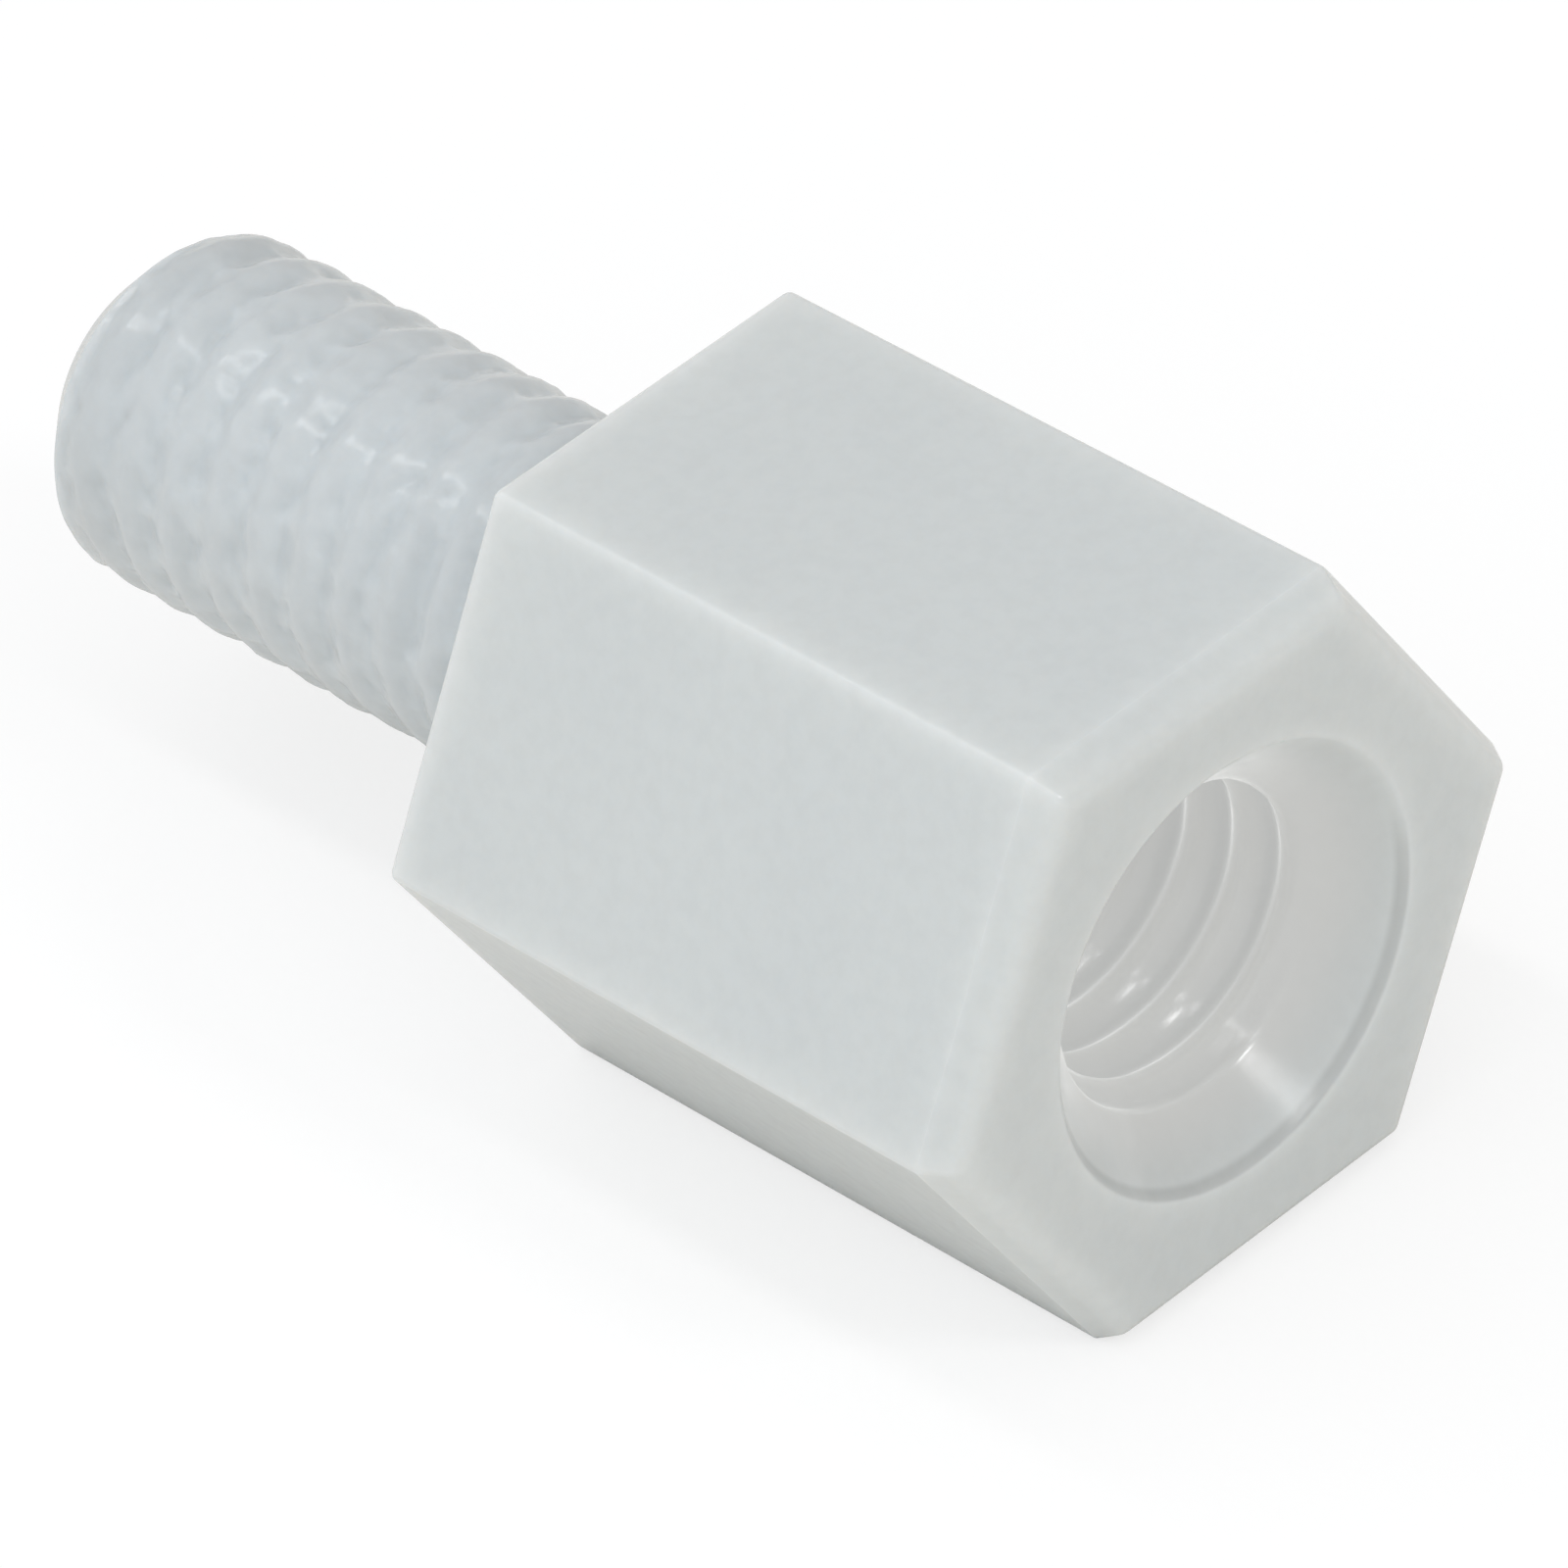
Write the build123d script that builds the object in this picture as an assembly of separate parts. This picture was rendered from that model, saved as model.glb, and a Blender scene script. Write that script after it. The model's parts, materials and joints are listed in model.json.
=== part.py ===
"""Male-female hex standoff, M3, moulded in one piece.

The standoff lies on one flat of its hexagon, as it comes to rest on a bench. Its axis runs along X:
the tapped end faces +X and the threaded stud points to -X. The shoulder, where the stud leaves the
hexagon, is the plane X = 0. The origin is the middle of the base.

Both threads are plain here: the stud is a cylinder at its crests and the socket is a bore at its core
size, so that they measure as the pin and the hole that a mating part meets.
"""
from build123d import *
import math
import os

# ---- driving dimensions, mm
thread_nominal = 3.0     # M3, on the stud and in the socket
thread_pitch = 0.5
across_flats = 5.5
body_length = 6.0        # shoulder to end face: the distance that the standoff keeps
stud_length = 6.0
socket_depth = 5.0       # blind, from the end face to the floor of the hole

mouth_diameter = 3.84    # countersink at the end face
mouth_half_angle = 45.0  # of the countersink's cone, degrees from the axis
mouth_blend = 0.5        # round where the countersink runs into the bore
lip_radius = 0.08        # round between the end face and the countersink
floor_round = 0.15       # round at the floor of the hole, as on a core pin's nose
rim_length = 0.3         # bevel round the end face, along the axis
rim_inset = 0.15         # the same bevel, towards the axis
rim_round = 0.16         # round between the bevel and the end face
corner_radius = 0.1      # on the six long edges of the hexagon
shoulder_round = 0.08    # on the hexagon's edge at the shoulder
tip_chamfer = 0.45       # on the free end of the stud
tip_round = 0.1          # between the stud's chamfer and its end face

# ---- worked out from them
axis_height = across_flats / 2
stud_radius = thread_nominal / 2
core_radius = (thread_nominal - thread_pitch) / 2
mouth_radius = mouth_diameter / 2
mouth_depth = (mouth_radius - core_radius) / math.tan(math.radians(mouth_half_angle))
blend_reach = mouth_blend * math.tan(math.radians(mouth_half_angle / 2))


def section(at_x):
    """The YZ plane at a place along the standoff, with its middle on the axis and its normal to +X."""
    return Plane(origin=(at_x, 0, axis_height), x_dir=(0, 1, 0), z_dir=(1, 0, 0))


def hexagon(at_x, flats):
    """A hexagon with rounded corners and a flat underneath, square to the axis."""
    outline = RegularPolygon(radius=flats / 2, side_count=6, major_radius=False)
    corners = fillet(outline.vertices(), corner_radius)
    return section(at_x) * corners


def hex_body():
    """The hexagonal barrel with its bevelled rim, still solid."""
    rim_start = body_length - rim_length
    barrel = extrude(hexagon(0, across_flats), amount=rim_start)
    bevel = loft([hexagon(rim_start, across_flats), hexagon(body_length, across_flats - 2 * rim_inset)])
    body = barrel + bevel
    shoulder_edges = body.faces().sort_by(Axis.X)[0].edges()
    body = fillet(shoulder_edges, shoulder_round)
    end_edges = body.faces().sort_by(Axis.X)[-1].edges()
    return fillet(end_edges, rim_round)


def turned(profile_points, rounded):
    """A solid of revolution about the axis, from (X, radius) points; some of its corners are rounded."""
    outline = Polyline(*[(x, radius) for x, radius in profile_points], close=True)
    face = make_face(outline)
    for (x, radius), round_radius in rounded:
        corner = face.vertices().sort_by_distance((x, radius, 0))[0]
        face = fillet(corner, round_radius)
    spun = revolve(face, axis=Axis.X, revolution_arc=360)
    return Pos(0, 0, axis_height) * spun


def stud():
    """The stud, from inside the body to its chamfered tip."""
    root = body_length / 4
    tip_radius = stud_radius - tip_chamfer
    points = [
        (root, 0),
        (root, stud_radius),
        (-stud_length + tip_chamfer, stud_radius),
        (-stud_length, tip_radius),
        (-stud_length, 0),
    ]
    return turned(points, [((-stud_length, tip_radius), tip_round)])


def socket():
    """What the hole takes away: the core bore, its rounded floor and the countersunk mouth."""
    clear_of_face = body_length + rim_length
    points = [
        (body_length - socket_depth, 0),
        (body_length - socket_depth, core_radius),
        (body_length - mouth_depth, core_radius),
        (body_length, mouth_radius),
        (clear_of_face, mouth_radius),
        (clear_of_face, 0),
    ]
    rounded = [
        ((body_length - socket_depth, core_radius), floor_round),
        ((body_length - mouth_depth, core_radius), mouth_blend),
    ]
    return turned(points, rounded)


def standoff():
    """The whole part as one solid."""
    part = hex_body() + stud() - socket()
    lip = part.edges().filter_by(GeomType.CIRCLE)
    lip = [edge for edge in lip if abs(edge.radius - mouth_radius) < lip_radius / 4]
    return fillet(lip, lip_radius)


os.makedirs("parts", exist_ok=True)
part = standoff()
part.label = "standoff"
export_step(part, "parts/standoff.step")

box = part.bounding_box()
print("standoff", len(part.solids()), "solid, volume", round(part.volume, 3), "mm3")
print("box", box.min, box.max)
print("countersink depth", round(mouth_depth, 3), "bore wall from X", body_length - socket_depth + floor_round,
      "to X", round(body_length - mouth_depth - blend_reach, 4))
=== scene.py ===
# %% [markdown]
# # A moulded nylon hex standoff
#
# This lesson dresses a small fastener: a male-female spacer of natural nylon, with a hexagonal
# body, an M3 stud at one end and an M3 socket at the other. The solid part is already made.
# Here it gets the two threads, the soft edges and the milky plastic that the plain solid leaves
# out.

# %% Load the part
import json
import math

import bpy
from mathutils import Matrix, Vector


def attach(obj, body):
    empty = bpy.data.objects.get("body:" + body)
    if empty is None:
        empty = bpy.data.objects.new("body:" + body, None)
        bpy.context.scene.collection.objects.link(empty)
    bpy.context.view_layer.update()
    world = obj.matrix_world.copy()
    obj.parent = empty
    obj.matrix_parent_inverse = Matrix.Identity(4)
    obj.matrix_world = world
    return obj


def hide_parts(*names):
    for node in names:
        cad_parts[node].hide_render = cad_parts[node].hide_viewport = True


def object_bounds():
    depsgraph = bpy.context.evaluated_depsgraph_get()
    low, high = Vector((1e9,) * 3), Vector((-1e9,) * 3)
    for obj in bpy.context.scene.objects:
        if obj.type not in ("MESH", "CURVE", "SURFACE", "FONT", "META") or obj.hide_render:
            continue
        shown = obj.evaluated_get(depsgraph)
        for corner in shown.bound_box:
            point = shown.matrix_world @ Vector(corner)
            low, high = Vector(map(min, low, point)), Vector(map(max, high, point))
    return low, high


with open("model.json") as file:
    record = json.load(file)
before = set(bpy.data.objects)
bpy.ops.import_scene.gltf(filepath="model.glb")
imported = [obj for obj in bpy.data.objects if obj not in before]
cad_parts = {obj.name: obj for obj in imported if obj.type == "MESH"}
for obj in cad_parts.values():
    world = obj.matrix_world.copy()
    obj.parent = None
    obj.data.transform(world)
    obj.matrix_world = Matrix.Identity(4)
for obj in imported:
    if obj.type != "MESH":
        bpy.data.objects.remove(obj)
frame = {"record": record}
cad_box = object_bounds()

MM = 0.001
print("part box, mm:", [round(v / MM, 3) for v in (*cad_box[0], *cad_box[1])])

# %% [markdown]
# ## Sizes
#
# The real part is drawn with few numbers: the thread, the width across the flats and two lengths.
# The record's mounts carry most of them, so they are read from there and from the part's box, and
# the looks can't drift away from the solid. What only the looks need, such as the depth of a
# thread, comes from the metric thread's own rules.

# %% Read the driving sizes
mounts = {mount["name"]: mount for mount in frame["record"]["mounts"]}
stud_end, end_face = cad_box[0].x, mounts["end_face"]["pos_m"][0]
across_flats = cad_box[1].z - cad_box[0].z
apothem = across_flats / 2
axis_height = mounts["stud"]["pos_m"][2]
crest_radius = mounts["stud"]["dims"]["r_mm"] * MM
core_radius = mounts["socket"]["dims"]["r_mm"] * MM
socket_length = mounts["socket"]["dims"]["length_mm"] * MM
pitch = 0.5 * MM
stud_thread_depth = 0.6134 * pitch
socket_thread_depth = 0.5413 * pitch
print("across flats", across_flats / MM, "stud radius", crest_radius / MM,
      "core radius", core_radius / MM)

# %% [markdown]
# ## Expressions instead of wires
#
# Node trees are easier to read as formulas. A small class wraps a socket, and its operators add
# the Math nodes, so `1 - mask * 0.2` is a piece of the tree. Any other node comes from one
# method, which takes the node's type, its settings and its sockets.

# %% A number that flows between nodes
class Flow:
    """The output of a node, which Python's operators join to Math nodes."""

    def __init__(self, graph, socket):
        self.graph, self.socket = graph, socket

    def maths(self, operation, *values):
        inputs = {place: value for place, value in enumerate(values)}
        return self.graph.add("ShaderNodeMath", {"operation": operation}, inputs)

    def __add__(self, other):
        return self.maths("ADD", self, other)

    def __radd__(self, other):
        return self.maths("ADD", other, self)

    def __sub__(self, other):
        return self.maths("SUBTRACT", self, other)

    def __rsub__(self, other):
        return self.maths("SUBTRACT", other, self)

    def __mul__(self, other):
        return self.maths("MULTIPLY", self, other)

    def __rmul__(self, other):
        return self.maths("MULTIPLY", other, self)

    def __truediv__(self, other):
        return self.maths("DIVIDE", self, other)

    def __rtruediv__(self, other):
        return self.maths("DIVIDE", other, self)

    def __abs__(self):
        return self.maths("ABSOLUTE", self)

    def call(self, operation, *values):
        """Math operations that have no operator, such as SINE, SQRT or SMOOTH_MIN."""
        return self.maths(operation, self, *values)

    def clamp(self):
        return self.maths("MINIMUM", self.maths("MAXIMUM", self, 0.0), 1.0)

    def between(self, low, high):
        """0 below low, 1 above high, smooth between; the other way round if low is the larger."""
        inputs = {"Value": self, "From Min": low, "From Max": high, "To Min": 0.0, "To Max": 1.0}
        return self.graph.add("ShaderNodeMapRange", {"interpolation_type": "SMOOTHSTEP"}, inputs)


class Graph:
    """A node tree and the one method that adds to it."""

    def __init__(self, tree):
        self.tree = tree

    def add(self, kind, settings=None, inputs=None, output=0):
        node = self.tree.nodes.new(kind)
        for name, value in (settings or {}).items():
            setattr(node, name, value)
        for name, value in (inputs or {}).items():
            if isinstance(value, Flow):
                self.tree.links.new(value.socket, node.inputs[name])
            else:
                node.inputs[name].default_value = value
        return Flow(self, node.outputs[output] if len(node.outputs) else None)


# %% [markdown]
# ## The profile
#
# If the part were turned on a lathe, its outline would be one line from the tip of the stud, over
# the hexagon, into the hole and down to its floor. So the outline is written as corners, each
# with its distance along the axis, its distance from the axis and a rounding radius. Every corner
# also says how hexagonal the section is there (0 is round, 1 is a hexagon), and which thread is
# cut in the stretch that follows it.

# %% Corners of the outline
tip_chamfer = 0.45 * MM
rim_length, rim_inset = 0.3 * MM, 0.15 * MM
mouth_radius = 1.92 * MM
mouth_depth = mouth_radius - core_radius
floor_round = 0.15 * MM
floor = mounts["socket"]["pos_m"][0] - socket_length / 2 - floor_round
NO_THREAD, STUD_THREAD, SOCKET_THREAD = 0.0, 1.0, 2.0

# (along the axis, from the axis, rounding, hexagonal, thread after it)
corners = [
    (stud_end, 0.0, 0.0, 0.0, NO_THREAD),
    (stud_end, crest_radius - tip_chamfer, 0.1 * MM, 0.0, STUD_THREAD),
    (stud_end + tip_chamfer, crest_radius, 0.04 * MM, 0.0, STUD_THREAD),
    (0.0, crest_radius, 0.05 * MM, 0.0, NO_THREAD),
    (0.0, apothem, 0.08 * MM, 1.0, NO_THREAD),
    (end_face - rim_length, apothem, 0.03 * MM, 1.0, NO_THREAD),
    (end_face, apothem - rim_inset, 0.2 * MM, 1.0, NO_THREAD),
    (end_face, mouth_radius, 0.08 * MM, 0.0, SOCKET_THREAD),
    (end_face - mouth_depth, core_radius, 0.5 * MM, 0.0, SOCKET_THREAD),
    (floor, core_radius, floor_round, 0.0, NO_THREAD),
    (floor, 0.0, 0.0, 0.0, NO_THREAD),
]

# %% [markdown]
# A rounded corner is an arc that touches the two lines beside it. Beside each arc goes one extra
# row close by: smooth shading blends normals from row to row, and the extra row keeps a flat face
# flat right up to its edge. Threaded stretches get many rows, because the groove is carved in
# them.

# %% Turn corners into rows
arc_steps = 6
guard = 0.025 * MM
rows_per_pitch = 14
plain_step = 0.6 * MM


def round_corner(before, corner, after, radius):
    """Points of the arc that rounds a corner, from the line before it to the line after it."""
    to_before = (before - corner).normalized()
    to_after = (after - corner).normalized()
    half_angle = to_before.angle(to_after) / 2
    reach = radius / math.tan(half_angle)
    centre = corner + (to_before + to_after).normalized() * (radius / math.sin(half_angle))
    start = corner + to_before * reach - centre
    sweep = math.pi - 2 * half_angle
    turn = 1.0 if to_before.x * to_after.y - to_before.y * to_after.x < 0 else -1.0
    points = []
    for step in range(arc_steps + 1):
        angle = turn * sweep * step / arc_steps
        cos, sin = math.cos(angle), math.sin(angle)
        turned = Vector((start.x * cos - start.y * sin, start.x * sin + start.y * cos))
        points.append(centre + turned)
    return points


def profile_rows():
    """(point, hexagonal, thread) for each row, from the stud's tip to the hole's floor."""
    places = [Vector(corner[:2]) for corner in corners]
    rounded = []
    for number, (place, corner) in enumerate(zip(places, corners)):
        if corner[2] == 0:
            rounded.append([place])
        else:
            rounded.append(round_corner(places[number - 1], place, places[number + 1], corner[2]))
    rows = []
    for number, points in enumerate(rounded):
        hexagonal, thread = corners[number][3:]
        rows += [(point, hexagonal, thread) for point in points]
        if number + 1 == len(corners):
            break
        start, end = points[-1], rounded[number + 1][0]
        next_hexagonal = corners[number + 1][3]
        length = (end - start).length
        step = pitch / rows_per_pitch if thread else plain_step
        count = max(1, round((length - 2 * guard) / step))
        stops = [guard + (length - 2 * guard) * part / count for part in range(count + 1)]
        for stop in stops:
            share = stop / length
            mixed = hexagonal + (next_hexagonal - hexagonal) * share
            rows.append((start.lerp(end, share), mixed, thread))
    return rows


rows = profile_rows()
print("profile rows:", len(rows))

# %% [markdown]
# The rows go into a mesh of loose points, with the two extra numbers as attributes. The node tree
# reads that mesh.

# %% Store the profile as points
profile = bpy.data.meshes.new("standoff_profile")
profile.from_pydata([(point.x, 0.0, point.y) for point, _, _ in rows], [], [])
for name, place in (("hexagonal", 1), ("thread", 2)):
    values = profile.attributes.new(name, "FLOAT", "POINT").data
    values.foreach_set("value", [row[place] for row in rows])

# %% [markdown]
# ## Sweeping the profile round the axis
#
# The skin could be spun by a script, but a Geometry Nodes tree keeps every size adjustable and
# shows the rule plainly. It makes a flat grid, one row for each profile point and one column for
# each angle, and then moves every vertex to where the rule puts it. Three rules do the whole
# part:
#
# * round sections put the columns evenly round a circle;
# * hexagonal ones crowd them into the six corners, so that the small corner arcs get points;
# * a thread is a groove whose phase turns with the angle and runs along the axis, one pitch a
#   turn.
#
# The groove is a cosine, and shallower than a cut thread: soft crests, soft roots and low flanks
# are what a moulded thread has. Noise makes it uneven, because the mould's own thread is worn.

# %% Helpers for the tree's panel
columns_per_side = 26
corner_columns = 5
side_angle = math.radians(60)


class Panel:
    """The inputs that a node group shows on the modifier."""

    def __init__(self, tree):
        self.tree = tree
        self.values = {}
        self.outlet = tree.nodes.new("NodeGroupOutput")

    def number(self, name, value, kind):
        socket = self.tree.interface.new_socket(name, in_out="INPUT", socket_type=kind)
        self.values[socket.identifier] = value

    def fill(self, modifier):
        """Set by identifier, before the object is first evaluated."""
        for identifier, value in self.values.items():
            modifier[identifier] = value


# %% Build the sweeping tree
long_edge_round = 0.07 * MM
stud_share, socket_share = 0.21, 0.52  # how deep the moulded threads are, as shares of a cut one
softness = 0.01 * MM                   # where the groove meets a chamfer


def sweeping_tree(material):
    """Geometry Nodes that turn profile points into the closed skin of the standoff."""
    tree = bpy.data.node_groups.new("sweep_profile", "GeometryNodeTree")
    graph, panel = Graph(tree), Panel(tree)
    tree.interface.new_socket("Profile", in_out="INPUT", socket_type="NodeSocketGeometry")
    sizes = {
        "Columns": (6 * columns_per_side, "NodeSocketInt"),
        "Corner columns": (corner_columns, "NodeSocketInt"),
        "Axis height": (axis_height, "NodeSocketFloat"),
        "Corner radius": (long_edge_round, "NodeSocketFloat"),
        "Pitch": (pitch, "NodeSocketFloat"),
        "Stud crest radius": (crest_radius, "NodeSocketFloat"),
        "Stud thread depth": (stud_thread_depth * stud_share, "NodeSocketFloat"),
        "Socket core radius": (core_radius, "NodeSocketFloat"),
        "Socket thread depth": (socket_thread_depth * socket_share, "NodeSocketFloat"),
        "Socket start": (0.18 * MM, "NodeSocketFloat"),
        "Run-out": (pitch, "NodeSocketFloat"),
        "Floor": (floor, "NodeSocketFloat"),
        "Unevenness": (0.02 * MM, "NodeSocketFloat"),
        "Seed": (7.0, "NodeSocketFloat"),
    }
    for name, (value, kind) in sizes.items():
        panel.number(name, value, kind)
    tree.interface.new_socket("Skin", in_out="OUTPUT", socket_type="NodeSocketGeometry")
    inlet = tree.nodes.new("NodeGroupInput")
    size = {name: Flow(graph, inlet.outputs[name]) for name in ("Profile", *sizes)}

    # one row for each profile point, one column for each angle and one more that meets the first
    per_row = size["Columns"] + 1
    row_count = graph.add("GeometryNodeAttributeDomainSize", None, {"Geometry": size["Profile"]})
    grid = graph.add("GeometryNodeMeshGrid", None, {"Vertices X": row_count, "Vertices Y": per_row})
    index = graph.add("GeometryNodeInputIndex")
    row = (index / per_row).call("FLOOR")
    column = index - row * per_row

    # the profile's numbers at this row
    def at_row(value, data_type):
        inputs = {"Geometry": size["Profile"], "Value": value, "Index": row}
        return graph.add("GeometryNodeSampleIndex", {"data_type": data_type}, inputs)

    def stored(name):
        return graph.add("GeometryNodeInputNamedAttribute", {"data_type": "FLOAT"}, {"Name": name})

    point = at_row(graph.add("GeometryNodeInputPosition"), "FLOAT_VECTOR")
    along = graph.add("ShaderNodeSeparateXYZ", None, {"Vector": point}, "X")
    radius = graph.add("ShaderNodeSeparateXYZ", None, {"Vector": point}, "Z")
    hexagonal = at_row(stored("hexagonal"), "FLOAT")
    thread = at_row(stored("thread"), "FLOAT")

    # threads: a groove that turns once a pitch, right-handed about +X
    is_stud = thread.call("COMPARE", STUD_THREAD, 0.1)
    is_socket = thread.call("COMPARE", SOCKET_THREAD, 0.1)
    turn = column / size["Columns"]
    phase = ((along + is_socket * size["Socket start"]) / size["Pitch"] - turn) * math.tau
    groove = 0.5 - phase.call("COSINE") * 0.5
    angle = turn * math.tau
    cosine, sine = angle.call("COSINE"), angle.call("SINE")
    place = graph.add("ShaderNodeCombineXYZ", None,
                      {"X": along, "Y": cosine * radius, "Z": sine * radius})
    ripple = graph.add("ShaderNodeTexNoise", {"noise_dimensions": "4D"},
                       {"Vector": place, "W": size["Seed"], "Scale": 2.7 / MM, "Detail": 2.0})
    uneven = ripple.between(0.3, 0.7) * size["Unevenness"]
    stud_fade = (0 - along).between(0.1 * MM, 0.1 * MM + size["Run-out"])
    # the crests dip by up to the unevenness, and the groove is deeper in some places
    patchy = 0.72 + ripple.between(0.38, 0.62) * 0.36
    stud_cut = groove * patchy * size["Stud thread depth"] * stud_fade
    stud_wall = size["Stud crest radius"] - stud_cut - uneven
    socket_fade = (along - size["Floor"]).between(0.3 * MM, 0.3 * MM + size["Run-out"])
    socket_cut = groove * size["Socket thread depth"] * socket_fade
    socket_wall = size["Socket core radius"] + socket_cut + uneven * 0.3
    cut_stud = (radius + softness).call("SMOOTH_MIN", stud_wall, softness)
    cut_socket = (radius - softness).call("SMOOTH_MAX", socket_wall, softness)
    round_radius = radius + (cut_stud - radius) * is_stud + (cut_socket - radius) * is_socket
    round_y, round_z = cosine * round_radius, sine * round_radius

    # hexagon: each column belongs to its nearest corner; near it is the corner's arc, then the flat
    half_side = side_angle / 2
    per_side = size["Columns"] / 6
    corner = (column / per_side + 0.5).call("FLOOR")
    offset = column - corner * per_side
    side = offset.call("SIGN")
    away = abs(offset)
    bend = (away / size["Corner columns"]).clamp() * side * half_side
    flat_share = ((away - size["Corner columns"]) / (per_side / 2 - size["Corner columns"])).clamp()
    inner = radius - size["Corner radius"]
    flat_step = flat_share * flat_share * inner * math.tan(half_side) * side
    corner_angle = corner * side_angle
    centre = inner / math.cos(half_side)
    arc_angle = corner_angle + bend
    flat_angle = corner_angle + side * half_side + math.radians(90)

    def hexagon_axis(wave):
        to_centre = corner_angle.call(wave) * centre
        round_corner_arc = arc_angle.call(wave) * size["Corner radius"]
        return to_centre + round_corner_arc + flat_angle.call(wave) * flat_step

    hexagon_y, hexagon_z = hexagon_axis("COSINE"), hexagon_axis("SINE")
    y = round_y + (hexagon_y - round_y) * hexagonal
    z = round_z + (hexagon_z - round_z) * hexagonal
    where = graph.add("ShaderNodeCombineXYZ", None,
                      {"X": along, "Y": y, "Z": z + size["Axis height"]})

    # put every vertex in its place, close the seam and the two poles, and finish
    skin = graph.add("GeometryNodeSetPosition", None, {"Geometry": grid, "Position": where})

    threaded = is_stud * stud_fade + is_socket * socket_fade
    skin = graph.add("GeometryNodeStoreNamedAttribute", {"data_type": "FLOAT", "domain": "POINT"},
                     {"Geometry": skin, "Name": "groove", "Value": groove * threaded})
    close = {"Geometry": skin, "Distance": 0.0002 * MM}
    skin = graph.add("GeometryNodeMergeByDistance", None, close)
    skin = graph.add("GeometryNodeSetShadeSmooth", None, {"Geometry": skin, "Shade Smooth": True})
    skin = graph.add("GeometryNodeRealizeInstances", None, {"Geometry": skin})
    skin = graph.add("GeometryNodeSetMaterial", None, {"Geometry": skin, "Material": material})
    tree.links.new(skin.socket, panel.outlet.inputs["Skin"])
    return tree, panel

# %% [markdown]
# ## Natural nylon
#
# Undyed nylon is milky: light goes a little way in, scatters and comes out again, so shadows in
# it are soft and thin edges glow. Principled's subsurface does that. On top of it the moulding
# has a faint cloudiness, a fine grain from the mould's spark-eroded wall, and a dull sheen that
# is a little glossier on the stud's crests and in the hole, where the mould was polished.
#
# The hole is the hard part. Its wall is lit by daylight that has come through the nylon, which a
# short scattering distance can't carry. So the wall gets a darker base colour than the nylon has,
# which the scene's light shades little, and a steady faint emission paints in the light that comes
# through: the hole's brightness is painted light.

# %% Mix colours in a shader
def blend_colours(graph, share, first, second, mode="MIX"):
    """A Mix node for colours; share is a number or a flow."""
    settings = {"data_type": "RGBA", "blend_type": mode}
    return graph.add("ShaderNodeMix", settings, {0: share, 6: first, 7: second}, 2)


def noise(graph, where, size, detail=2.0, roughness=0.5):
    inputs = {"Vector": where, "Scale": 1.0 / size, "Detail": detail, "Roughness": roughness}
    return graph.add("ShaderNodeTexNoise", None, inputs)


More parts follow.
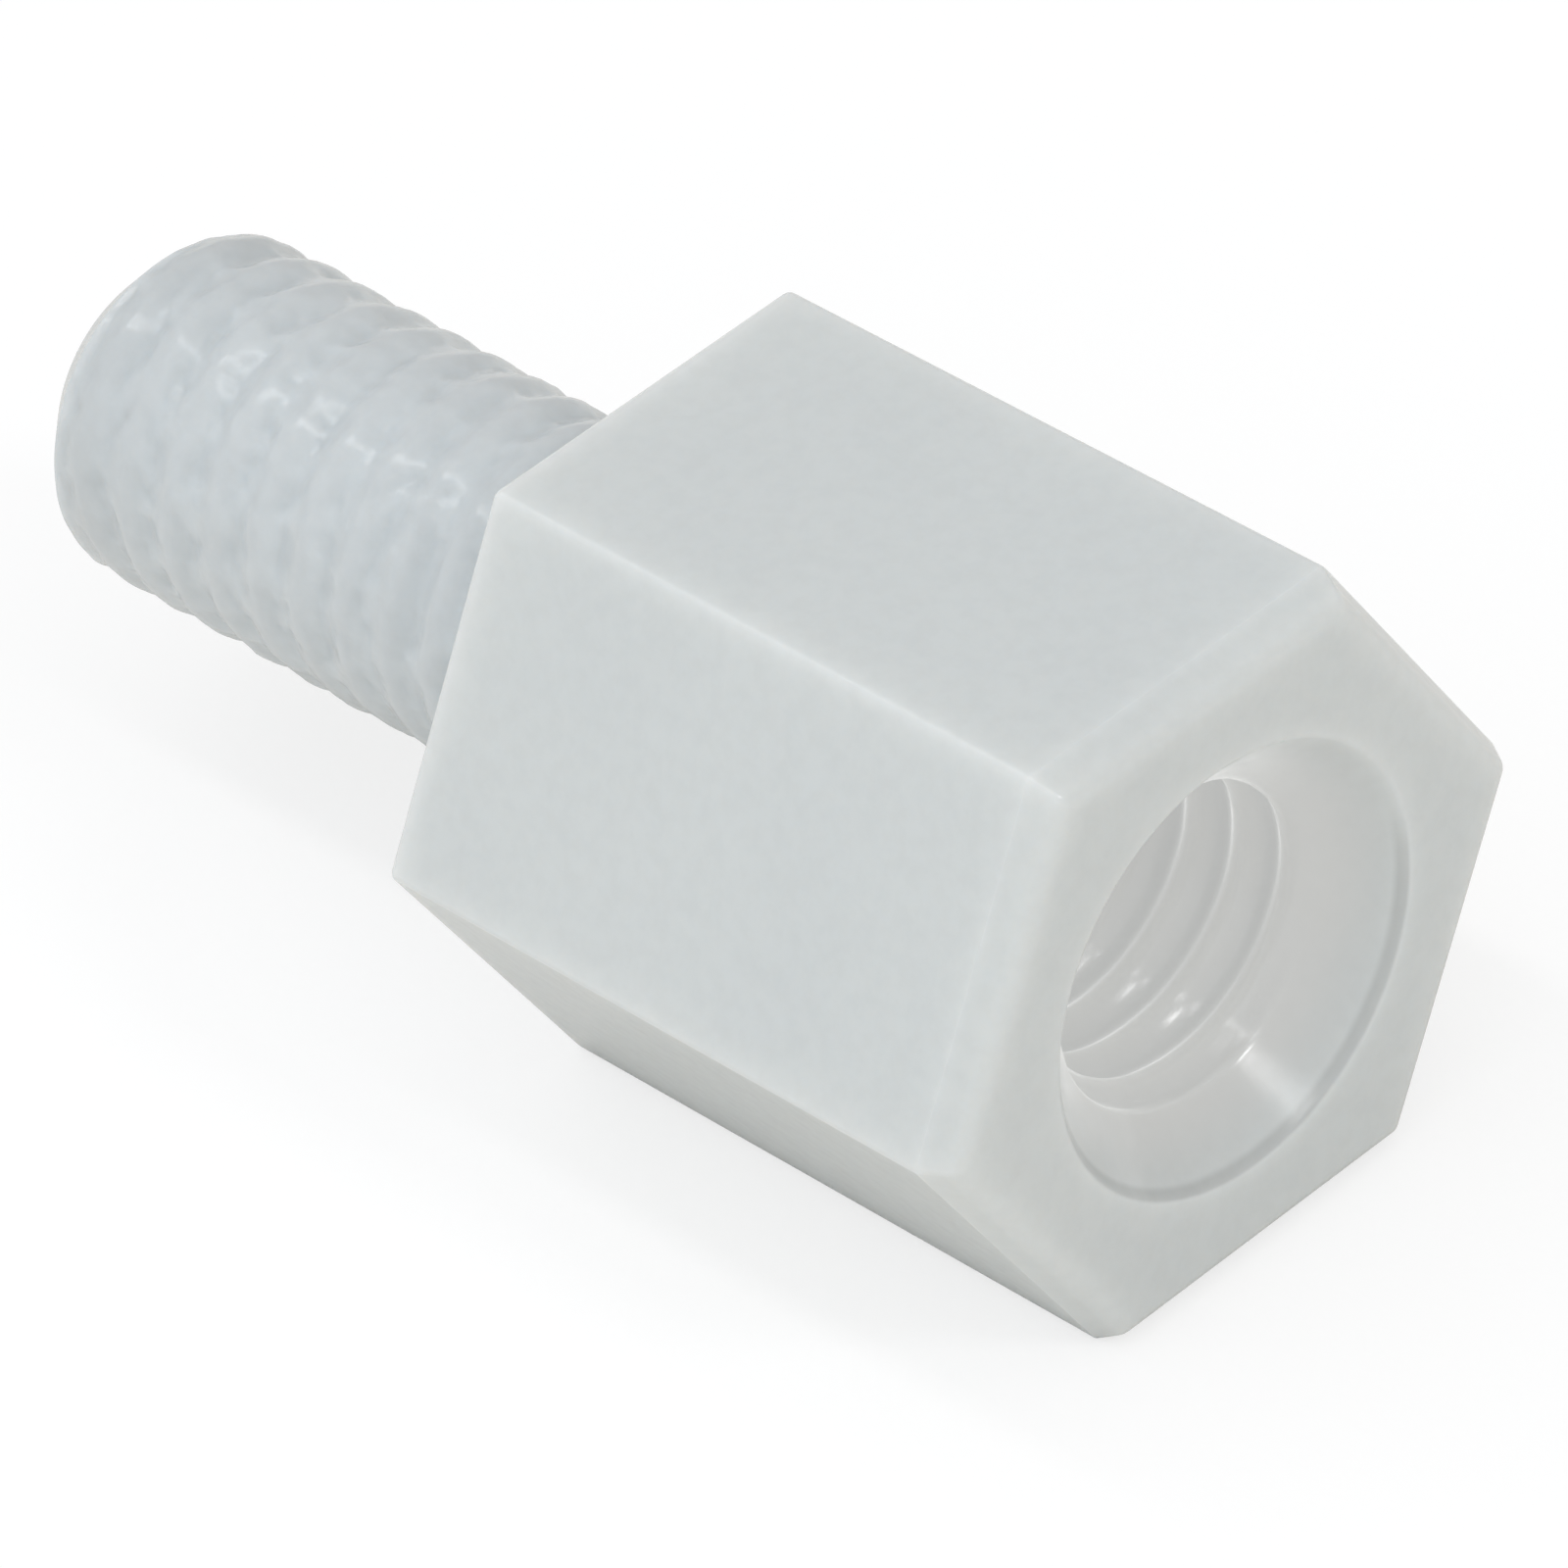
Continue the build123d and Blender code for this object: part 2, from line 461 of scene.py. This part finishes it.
# %% The material
def natural_nylon():
    material = bpy.data.materials.new("natural_nylon")
    material.use_nodes = True
    tree = material.node_tree
    tree.nodes.clear()
    graph = Graph(tree)
    where = graph.add("ShaderNodeTexCoord", None, None, "Object")
    along, across, up = (graph.add("ShaderNodeSeparateXYZ", None, {"Vector": where}, axis)
                         for axis in "XYZ")
    groove = graph.add("ShaderNodeAttribute", {"attribute_name": "groove"}, None, "Fac")
    stud = (0 - along).between(-0.1 * MM, 0.4 * MM)
    depth = end_face - along

    milky = (0.652, 0.680, 0.678, 1.0)
    cool = (0.556, 0.592, 0.612, 1.0)
    # dark base of the hole's wall, under its painted glow
    hole_base_under_glow = (0.240, 0.242, 0.232, 1.0)
    cloud = noise(graph, where, size=2.2 * MM, detail=3.0)
    fine = noise(graph, where, size=0.16 * MM, detail=3.0, roughness=0.6)
    colour = blend_colours(graph, cloud.between(0.35, 0.7) * 0.12, milky, cool)
    colour = blend_colours(graph, stud * 0.8, colour, cool)
    above_axis = up - axis_height
    from_axis = (across * across + above_axis * above_axis).call("SQRT")
    hollow = from_axis.between(2.2 * MM, 2.0 * MM) * along.between(0.5 * MM, 0.7 * MM)
    inside = hollow * depth.between(0.0, 0.5 * MM)
    # the hole's wall gets the dark base, so that the painted glow, not the scene's light, sets how
    # bright it is
    colour = blend_colours(graph, inside, colour, hole_base_under_glow)

    # painted shade: a thin dark line just inside the lip, on its lower half only
    painted_lip_shade = from_axis.between(1.80 * MM, 1.85 * MM) * from_axis.between(1.94 * MM, 1.90 * MM)
    painted_lip_shade = painted_lip_shade * depth.between(0.0, 0.02 * MM) * depth.between(0.2 * MM, 0.1 * MM)
    painted_lip_shade = painted_lip_shade * above_axis.between(0.6 * MM, -0.4 * MM)
    # painted shade: the stud darkens towards its tip
    tip = (0 - along).between(4.4 * MM, 6.0 * MM)
    # painted light and shade: lighter grooves on the stud, to fill their shade, a darker tip and a
    # dark line in the lip; the fine noise is the nylon's own mottle
    grain_and_painted_light = 1.0 + groove * stud * 0.10 - tip * 0.09 - fine.between(0.3, 0.75) * 0.03 - painted_lip_shade * 0.2
    grey = graph.add("ShaderNodeCombineXYZ", None, {"X": grain_and_painted_light, "Y": grain_and_painted_light, "Z": grain_and_painted_light})
    colour = blend_colours(graph, 1.0, colour, grey, "MULTIPLY")

    # painted light: a steady emission in the hole stands in for the light that comes through the
    # thin wall, more of it than subsurface scattering carries
    painted_glow = inside * 0.362
    lit = graph.add("ShaderNodeCombineXYZ", None, {"X": painted_glow, "Y": painted_glow * 1.01, "Z": painted_glow})

    roughness = 0.215 - stud * 0.03 - inside * 0.05 + (fine - 0.5) * 0.14 + groove * stud * 0.02
    grain = noise(graph, where, size=0.035 * MM, roughness=0.6)
    crinkle = noise(graph, where, size=0.17 * MM)
    waves = noise(graph, where, size=0.7 * MM, detail=1.0)
    # heights in shares of the bump's distance: a faint grain, soft waves, a crinkled stud
    height = grain * 0.12 + fine * 0.3 + waves + crinkle * stud * 2.0
    bump = graph.add("ShaderNodeBump", None,
                     {"Height": height, "Strength": 0.25, "Distance": 0.01 * MM})
    shader = graph.add("ShaderNodeBsdfPrincipled", None, {
        "Base Color": colour, "Roughness": roughness, "Normal": bump, "IOR": 1.53,
        "Subsurface Weight": 1.0, "Subsurface Radius": (1.0, 0.9, 0.82),
        "Subsurface Scale": 0.6 * MM,
        "Emission Color": lit, "Emission Strength": 1.0,
    })
    graph.add("ShaderNodeOutputMaterial", None, {"Surface": shader})
    material.cycles.emission_sampling = "NONE"
    return material


# %% [markdown]
# ## The skin
#
# The profile object gets the tree as a modifier, the sizes go in by the sockets' identifiers, and
# the evaluated result becomes a plain mesh. A moulding is one closed skin, so the edges that don't
# have two faces are counted, and there should be none. Faces that point inwards make the volume
# negative, and the sweep's do, so they are turned round before the volume is printed.

# %% Sweep it and make it a plain mesh
nylon = natural_nylon()
pattern = bpy.data.objects.new("profile", profile)
bpy.context.collection.objects.link(pattern)
tree, panel = sweeping_tree(nylon)
modifier = pattern.modifiers.new("sweep", "NODES")
modifier.node_group = tree
panel.fill(modifier)
evaluated = pattern.evaluated_get(bpy.context.evaluated_depsgraph_get())
skin_mesh = bpy.data.meshes.new_from_object(evaluated)
skin_mesh.name = "standoff_moulding"
pattern.modifiers.remove(modifier)
bpy.data.objects.remove(pattern)
moulding = bpy.data.objects.new("standoff_moulding", skin_mesh)
bpy.context.collection.objects.link(moulding)


# %% Test the skin
def signed_volume(mesh):
    mesh.calc_loop_triangles()
    points = [vertex.co for vertex in mesh.vertices]
    volume = 0.0
    for triangle in mesh.loop_triangles:
        a, b, c = (points[number] for number in triangle.vertices)
        volume += a.dot(b.cross(c)) / 6
    return volume


if signed_volume(skin_mesh) < 0:
    skin_mesh.flip_normals()
volume = signed_volume(skin_mesh)
edge_uses = {}
for polygon in skin_mesh.polygons:
    for key in polygon.edge_keys:
        edge_uses[key] = edge_uses.get(key, 0) + 1
open_edges = sum(1 for uses in edge_uses.values() if uses != 2)
print("triangles:", len(skin_mesh.loop_triangles), "volume, mm3:", round(volume / MM ** 3, 2),
      "open edges:", open_edges)

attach(moulding, "root")
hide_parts("standoff")

# %% [markdown]
# ## Floor, light and camera
#
# The part lies on a pale bench. The bench is a diffuse sheet, a little warm, as wood under paper
# is. To the camera it glows a little as well, which lifts it towards white and leaves the part's
# shadow on it. It lies a hair below the part, because two flat faces in one plane flicker.

# %% Floor
def pale_bench():
    material = bpy.data.materials.new("pale_bench")
    material.use_nodes = True
    tree = material.node_tree
    tree.nodes.clear()
    graph = Graph(tree)
    diffuse = graph.add("ShaderNodeBsdfDiffuse", None, {"Color": (0.88, 0.86, 0.825, 1.0)})
    faint = graph.add("ShaderNodeBsdfDiffuse", None, {"Color": (0.34, 0.34, 0.34, 1.0)})
    glow = graph.add("ShaderNodeEmission", None, {"Color": (1.0, 1.0, 1.0, 1.0), "Strength": 0.68})
    both = graph.add("ShaderNodeAddShader", None, {0: faint, 1: glow})
    camera_ray = graph.add("ShaderNodeLightPath", None, None, "Is Camera Ray")
    surface = graph.add("ShaderNodeMixShader", None, {0: camera_ray, 1: diffuse, 2: both})
    graph.add("ShaderNodeOutputMaterial", None, {"Surface": surface})
    return material


bench_half, bench_top = 0.4, -0.02 * MM
bench_mesh = bpy.data.meshes.new("bench")
bench_mesh.from_pydata([(-bench_half, -bench_half, bench_top), (bench_half, -bench_half, bench_top),
                        (bench_half, bench_half, bench_top), (-bench_half, bench_half, bench_top)],
                       [], [(0, 1, 2, 3)])
bench_mesh.materials.append(pale_bench())
bench = bpy.data.objects.new("bench", bench_mesh)
bpy.context.collection.objects.link(bench)

# %% [markdown]
# A soft room lights the part from all round, brighter and cooler on the side of its window. Two
# lamps only add shine: a long strip overhead draws the line on the upper edge and the glints on
# the stud's crests, and a small one in front of the end face makes the glints in the hole.

# %% World and lamps
world = bpy.data.worlds.new("soft_room")
bpy.context.scene.world = world
world.use_nodes = True
world.node_tree.nodes.clear()
room = Graph(world.node_tree)
direction = room.add("ShaderNodeTexCoord", None, None, "Generated")
window = (-0.25, -0.9, 0.4)
towards = room.add("ShaderNodeVectorMath", {"operation": "DOT_PRODUCT"},
                   {0: direction, 1: window}, "Value")
level = 0.67 + towards * 0.325
tint = towards * 0.022
sky = room.add("ShaderNodeCombineXYZ", None, {"X": level - tint, "Y": level, "Z": level + tint})
background = room.add("ShaderNodeBackground", None, {"Color": sky, "Strength": 1.0})
room.add("ShaderNodeOutputWorld", None, {"Surface": background})

middle = Vector((0.0, 0.0, axis_height))


def softbox(name, azimuth, elevation, distance, width, depth, watts):
    """A lamp that looks at the part from a direction; azimuth 0 is the -Y side, 90 the +X side."""
    lamp = bpy.data.lights.new(name, "AREA")
    lamp.shape = "RECTANGLE"
    lamp.size, lamp.size_y = width, depth
    lamp.energy = watts
    body = bpy.data.objects.new(name, lamp)
    a, e = math.radians(azimuth), math.radians(elevation)
    back = Vector((math.sin(a) * math.cos(e), -math.cos(a) * math.cos(e), math.sin(e)))
    body.location = middle + back * distance
    body.rotation_euler = back.to_track_quat("Z", "Y").to_euler()
    bpy.context.collection.objects.link(body)


softbox("strip", azimuth=0, elevation=80, distance=0.15, width=0.26, depth=0.016, watts=0.045)
softbox("front", azimuth=97, elevation=43, distance=0.15, width=0.026, depth=0.026, watts=0.026)

# %% [markdown]
# A long lens a hand's breadth away keeps the hexagon's edges nearly parallel. It is aimed a
# little below the middle of the part, and the camera leans.

# %% Camera
bpy.context.scene.view_settings.view_transform = "Standard"


def camera(azimuth, elevation, lean, aim, distance, lens):
    """A camera that looks at a point; lean rolls it, so that the world's up tips to the left."""
    a, e = math.radians(azimuth), math.radians(elevation)
    back = Vector((math.sin(a) * math.cos(e), -math.cos(a) * math.cos(e), math.sin(e)))
    upright = back.to_track_quat("Z", "Y").to_matrix()
    rolled = upright @ Matrix.Rotation(-math.radians(lean), 3, "Z")
    data = bpy.data.cameras.new("camera")
    data.lens = lens
    data.clip_start = 0.01
    body = bpy.data.objects.new("camera", data)
    body.matrix_world = Matrix.Translation(aim + back * distance) @ rolled.to_4x4()
    bpy.context.collection.objects.link(body)
    bpy.context.scene.camera = body


aim = middle + Vector((0.917, 0.123, -0.781)) * MM
camera(azimuth=49.78, elevation=38.49, lean=7.75, aim=aim, distance=113.6 * MM, lens=335.8)
